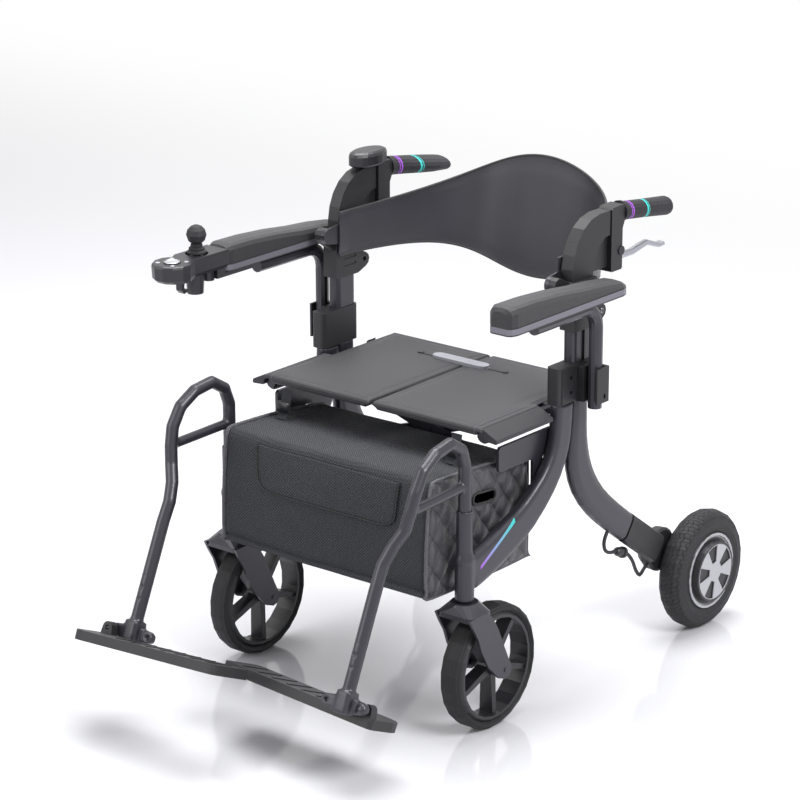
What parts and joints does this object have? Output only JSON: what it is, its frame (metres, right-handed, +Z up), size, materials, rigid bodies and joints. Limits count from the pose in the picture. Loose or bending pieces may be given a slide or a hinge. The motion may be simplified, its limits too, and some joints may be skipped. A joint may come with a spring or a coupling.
{
  "type": "electric rollator",
  "caption": "Folding walking frame with a seat, a joystick armrest, swing-up footplates, caster wheels in front and hub motors behind.",
  "frame": {"origin": "on the floor, under the middle of the overall box", "axes": "+Z up, +Y from the footplates back to the driven wheels, +X towards the side without the joystick"},
  "size_m": [0.6056, 1.0547, 0.785],
  "materials": {
    "frame_paint": "dark violet-grey satin paint on aluminium tube",
    "rail": "dark satin paint",
    "moulding": "fine-grained black moulding",
    "grip": "soft matte rubber with coloured rings",
    "lever": "satin cast",
    "pad": "moulded soft pad",
    "footplate": "ribbed moulding",
    "fork": "dark satin",
    "rim": "fine-grained black moulding",
    "caster_tyre": "grooved rubber",
    "hub": "satin cover with dark pockets",
    "rear_tyre": "treaded rubber",
    "cable": "matte sheath",
    "bracket": "black satin",
    "band": "smooth satin coated cloth",
    "seat": "fine-grained dark grey leatherette",
    "strap": "dotted grey moulding",
    "bag": "black twill",
    "bag_side": "quilted grey",
    "pack": "black",
    "console": "black satin moulding",
    "gimbal": "turned",
    "stick": "matte boot and ball",
    "button": "light grey"
  },
  "bodies": {
    "frame_right": {"front_leg_right": "frame_paint", "rear_leg_right": "frame_paint", "side_rail_right": "rail", "upright_right": "frame_paint", "arm_bracket_right": "moulding", "shoulder_right": "moulding", "handle_arm_right": "moulding", "grip_right": "grip", "motor_arm_right": "moulding", "motor_cable_right": "cable", "bag_side_right": "bag_side", "bag_body": "bag", "power_pack": "pack"},
    "brace_right": {"brace_right": "frame_paint"},
    "brace_left": {"brace_left": "frame_paint"},
    "frame_left": {"front_leg_left": "frame_paint", "rear_leg_left": "frame_paint", "side_rail_left": "rail", "upright_left": "frame_paint", "arm_bracket_left": "moulding", "shoulder_left": "moulding", "handle_arm_left": "moulding", "grip_left": "grip", "motor_arm_left": "moulding", "motor_cable_left": "cable", "bag_side_left": "bag_side", "palm_console": "console"},
    "seat_left": {"seat_panel_left": "seat"},
    "seat_right": {"seat_panel_right": "seat", "strap_handle": "strap"},
    "caster_fork_right": {"fork_right": "fork"},
    "caster_fork_left": {"fork_left": "fork"},
    "caster_wheel_right": {"caster_rim_right": "rim", "caster_tyre_right": "caster_tyre"},
    "caster_wheel_left": {"caster_rim_left": "rim", "caster_tyre_left": "caster_tyre"},
    "driven_wheel_right": {"rear_hub_right": "hub", "rear_tyre_right": "rear_tyre"},
    "driven_wheel_left": {"rear_hub_left": "hub", "rear_tyre_left": "rear_tyre"},
    "footrest_right": {"hanger_right": "frame_paint"},
    "footrest_left": {"hanger_left": "frame_paint"},
    "plate_right": {"footplate_right": "footplate"},
    "plate_left": {"footplate_left": "footplate"},
    "armrest_right": {"arm_tube_right": "frame_paint", "arm_pad_right": "pad"},
    "armrest_left": {"arm_tube_left": "frame_paint", "arm_pad_left": "pad", "console": "console"},
    "backrest_right": {"backrest_bracket_right": "bracket", "backrest_band": "band"},
    "backrest_left": {"backrest_bracket_left": "bracket"},
    "lever_right": {"brake_lever_right": "lever"},
    "lever_left": {"brake_lever_left": "lever"},
    "gimbal": {"gimbal": "gimbal"},
    "stick": {"stick": "stick"},
    "button_1": {"button_1": "button"},
    "button_2": {"button_2": "button"},
    "button_3": {"button_3": "button"},
    "button_4": {"button_4": "button"}
  },
  "joints": [
    {"name": "fold", "type": "hinge", "parent": "frame_right", "child": "brace_right", "pos_m": [0.205, 0.0368, 0.323], "axis": [0, 1, 0], "range_deg": [0, 40], "deforming": ["bag_body", "backrest_band"]},
    {"name": "fold_cross", "type": "hinge", "parent": "brace_right", "child": "brace_left", "pos_m": [0, 0.0488, 0.38945], "axis": [0, 1, 0], "range_deg": [-80, 0], "deforming": ["bag_body", "backrest_band"]},
    {"name": "fold_frame", "type": "hinge", "parent": "brace_left", "child": "frame_left", "pos_m": [-0.205, 0.0528, 0.323], "axis": [0, 1, 0], "range_deg": [0, 40], "deforming": ["bag_body", "backrest_band"]},
    {"name": "seat_lift_left", "type": "hinge", "parent": "brace_right", "child": "seat_left", "pos_m": [-0.2115, 0.0458, 0.458], "axis": [0, 1, 0], "range_deg": [-108, 0]},
    {"name": "seat_lift_right", "type": "hinge", "parent": "brace_left", "child": "seat_right", "pos_m": [0.2115, 0.0458, 0.458], "axis": [0, 1, 0], "range_deg": [0, 108]},
    {"name": "swivel_right", "type": "hinge", "parent": "frame_right", "child": "caster_fork_right", "pos_m": [0.236, -0.17275, 0.2225], "axis": [0, 0, 1], "continuous": true},
    {"name": "swivel_left", "type": "hinge", "parent": "frame_left", "child": "caster_fork_left", "pos_m": [-0.236, -0.17275, 0.2225], "axis": [0, 0, 1], "continuous": true},
    {"name": "caster_spin_right", "type": "hinge", "parent": "caster_fork_right", "child": "caster_wheel_right", "pos_m": [0.236, -0.11375, 0.09914], "axis": [1, 0, 0], "continuous": true},
    {"name": "caster_spin_left", "type": "hinge", "parent": "caster_fork_left", "child": "caster_wheel_left", "pos_m": [-0.236, -0.11375, 0.09914], "axis": [1, 0, 0], "continuous": true},
    {"name": "driven_spin_right", "type": "hinge", "parent": "frame_right", "child": "driven_wheel_right", "pos_m": [0.26, 0.42825, 0.09914], "axis": [1, 0, 0], "continuous": true},
    {"name": "driven_spin_left", "type": "hinge", "parent": "frame_left", "child": "driven_wheel_left", "pos_m": [-0.26, 0.42825, 0.09914], "axis": [1, 0, 0], "continuous": true},
    {"name": "footrest_lift_right", "type": "slide", "parent": "frame_right", "child": "footrest_right", "axis": [0, 0, 1], "range_m": [0, 0.055]},
    {"name": "footrest_lift_left", "type": "slide", "parent": "frame_left", "child": "footrest_left", "axis": [0, 0, 1], "range_m": [0, 0.055]},
    {"name": "plate_flip_right", "type": "hinge", "parent": "footrest_right", "child": "plate_right", "pos_m": [0.242, -0.42465, 0.13312], "axis": [0, 0.9121, -0.4099], "range_deg": [0, 85]},
    {"name": "plate_flip_left", "type": "hinge", "parent": "footrest_left", "child": "plate_left", "pos_m": [-0.242, -0.42465, 0.13312], "axis": [0, -0.9121, 0.4099], "range_deg": [0, 85]},
    {"name": "armrest_lift_right", "type": "slide", "parent": "frame_right", "child": "armrest_right", "axis": [0, 0, 1], "range_m": [0, 0.05]},
    {"name": "armrest_lift_left", "type": "slide", "parent": "frame_left", "child": "armrest_left", "axis": [0, 0, 1], "range_m": [0, 0.05]},
    {"name": "backrest_flip", "type": "hinge", "parent": "frame_right", "child": "backrest_right", "pos_m": [0.2222, 0.05325, 0.663], "axis": [1, 0, 0], "range_deg": [0, 85]},
    {"name": "backrest_flip_left", "type": "hinge", "parent": "frame_left", "child": "backrest_left", "pos_m": [-0.2222, 0.05325, 0.663], "axis": [1, 0, 0], "range_deg": [0, 85]},
    {"name": "brake_right", "type": "hinge", "parent": "frame_right", "child": "lever_right", "pos_m": [0.2325, 0.20425, 0.688], "axis": [1, 0, 0], "range_deg": [0, 15], "stiffness_Nm_per_rad": 2},
    {"name": "brake_left", "type": "hinge", "parent": "frame_left", "child": "lever_left", "pos_m": [-0.2325, 0.20425, 0.688], "axis": [1, 0, 0], "range_deg": [0, 15], "stiffness_Nm_per_rad": 2},
    {"name": "joystick_fore", "type": "hinge", "parent": "armrest_left", "child": "gimbal", "pos_m": [-0.274, -0.19775, 0.6705], "axis": [1, 0, 0], "range_deg": [-9, 9], "stiffness_Nm_per_rad": 0.3},
    {"name": "joystick_side", "type": "hinge", "parent": "gimbal", "child": "stick", "pos_m": [-0.274, -0.19775, 0.6705], "axis": [0, 1, 0], "range_deg": [-9, 9], "stiffness_Nm_per_rad": 0.3},
    {"name": "press_1", "type": "slide", "parent": "armrest_left", "child": "button_1", "axis": [0, 0, -1], "range_m": [0, 0.001], "stiffness_N_per_m": 200},
    {"name": "press_2", "type": "slide", "parent": "armrest_left", "child": "button_2", "axis": [0, 0, -1], "range_m": [0, 0.001], "stiffness_N_per_m": 200},
    {"name": "press_3", "type": "slide", "parent": "armrest_left", "child": "button_3", "axis": [0, 0, -1], "range_m": [0, 0.001], "stiffness_N_per_m": 200},
    {"name": "press_4", "type": "slide", "parent": "armrest_left", "child": "button_4", "axis": [0, 0, -1], "range_m": [0, 0.001], "stiffness_N_per_m": 200}
  ],
  "couplings": [
    {"joint": "fold_cross", "follows": "fold", "ratio": -2},
    {"joint": "fold_frame", "follows": "fold", "ratio": 1},
    {"joint": "seat_lift_left", "follows": "fold", "ratio": -2.7},
    {"joint": "seat_lift_right", "follows": "fold", "ratio": 2.7},
    {"joint": "backrest_flip_left", "follows": "backrest_flip", "ratio": 1}
  ]
}
